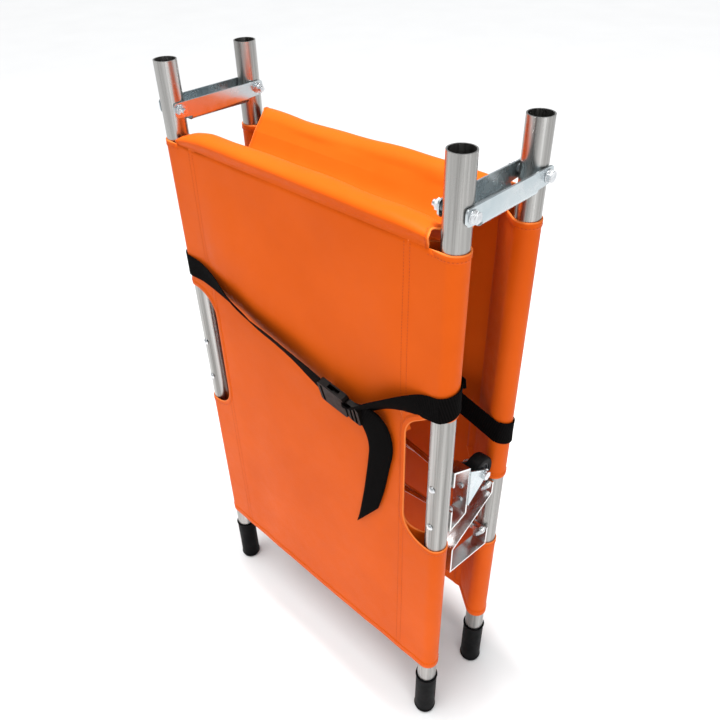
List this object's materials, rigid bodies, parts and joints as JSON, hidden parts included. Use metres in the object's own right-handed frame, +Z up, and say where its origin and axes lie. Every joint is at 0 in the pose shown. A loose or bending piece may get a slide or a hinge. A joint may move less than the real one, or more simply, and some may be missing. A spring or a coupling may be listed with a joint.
{
  "type": "folding stretcher",
  "caption": "Rescue stretcher that folds in two at mid-length, with an orange sheet on alloy poles, wheels, feet, belts and rubber hand grips.",
  "frame": {"origin": "middle of the footprint of the folded stretcher, on the ground", "axes": "+Z up along the poles, X across the stretcher's width, +Y from the front half to the back half"},
  "size_m": [0.5512, 0.2216, 1.04],
  "materials": {
    "aluminium_tube": "satin drawn",
    "aluminium_strip": "bright with sawn edges",
    "polished_rod": "bright",
    "orange_cloth": "coated cloth, soft sheen",
    "black_rubber": "matt",
    "wheel_rubber": "satin",
    "wheel_hub": "matt",
    "buckle_plastic": "fine grain",
    "black_webbing": "woven",
    "zinc_plate": "blue zinc plated",
    "zinc_fastener": "zinc plated"
  },
  "bodies": {
    "front_half": {"front_tube_left": "aluminium_tube", "front_tube_right": "aluminium_tube", "front_sheet": "orange_cloth", "front_grip_left": "black_rubber", "front_grip_right": "black_rubber", "front_pivot_bolts": "zinc_fastener", "front_pivot_nuts": "zinc_fastener", "front_pivot_washers": "zinc_fastener", "front_pivot_bushes": "zinc_fastener", "wheel_bracket_left": "aluminium_strip", "wheel_bracket_right": "aluminium_strip", "wheel_fork_left": "zinc_plate", "wheel_fork_right": "zinc_plate", "wheel_fork_rivets": "zinc_plate", "wheel_axle_bolts": "zinc_fastener", "wheel_axle_nuts": "zinc_fastener", "front_bracket_bolts": "zinc_fastener", "front_bracket_washers": "zinc_fastener", "front_bracket_nuts": "zinc_fastener", "front_upper_tie_rod": "polished_rod", "front_lower_tie_rod": "polished_rod", "front_belt": "black_webbing", "front_buckle_socket": "buckle_plastic"},
    "fold_links": {"fold_link_left": "zinc_plate", "fold_link_right": "zinc_plate", "fold_sheet": "orange_cloth"},
    "back_half": {"back_tube_left": "aluminium_tube", "back_tube_right": "aluminium_tube", "back_sheet": "orange_cloth", "back_grip_left": "black_rubber", "back_grip_right": "black_rubber", "back_pivot_bolts": "zinc_fastener", "back_pivot_nuts": "zinc_fastener", "back_pivot_washers": "zinc_fastener", "back_pivot_bushes": "zinc_fastener", "foot_bracket_left": "aluminium_strip", "foot_bracket_right": "aluminium_strip", "back_bracket_bolts": "zinc_fastener", "back_bracket_washers": "zinc_fastener", "back_bracket_nuts": "zinc_fastener", "back_upper_tie_rod": "polished_rod", "back_lower_tie_rod": "polished_rod", "back_belt": "black_webbing", "back_buckle_socket": "buckle_plastic"},
    "wheel_left": {"wheel_hub_left": "wheel_hub", "wheel_tyre_left": "wheel_rubber"},
    "wheel_right": {"wheel_hub_right": "wheel_hub", "wheel_tyre_right": "wheel_rubber"},
    "front_tongue": {"front_buckle_tongue": "buckle_plastic", "front_belt_tail": "black_webbing"},
    "back_tongue": {"back_buckle_tongue": "buckle_plastic", "back_belt_tail": "black_webbing"}
  },
  "joints": [
    {"name": "link_fold", "type": "hinge", "parent": "front_half", "child": "fold_links", "pos_m": [0, -0.068, 0.9755], "axis": [1, 0, 0], "range_deg": [0, 90]},
    {"name": "back_fold", "type": "hinge", "parent": "fold_links", "child": "back_half", "pos_m": [0, 0.068, 0.9755], "axis": [1, 0, 0], "range_deg": [0, 90]},
    {"name": "wheel_left_spin", "type": "hinge", "parent": "front_half", "child": "wheel_left", "pos_m": [-0.25, 0.02, 0.541], "axis": [1, 0, 0], "continuous": true},
    {"name": "wheel_right_spin", "type": "hinge", "parent": "front_half", "child": "wheel_right", "pos_m": [0.25, 0.02, 0.541], "axis": [1, 0, 0], "continuous": true},
    {"name": "front_buckle_release", "type": "slide", "parent": "front_half", "child": "front_tongue", "axis": [0.9903, 0, -0.1392], "range_m": [0, 0.03]},
    {"name": "back_buckle_release", "type": "slide", "parent": "back_half", "child": "back_tongue", "axis": [0.9903, 0, -0.1392], "range_m": [0, 0.03]}
  ]
}
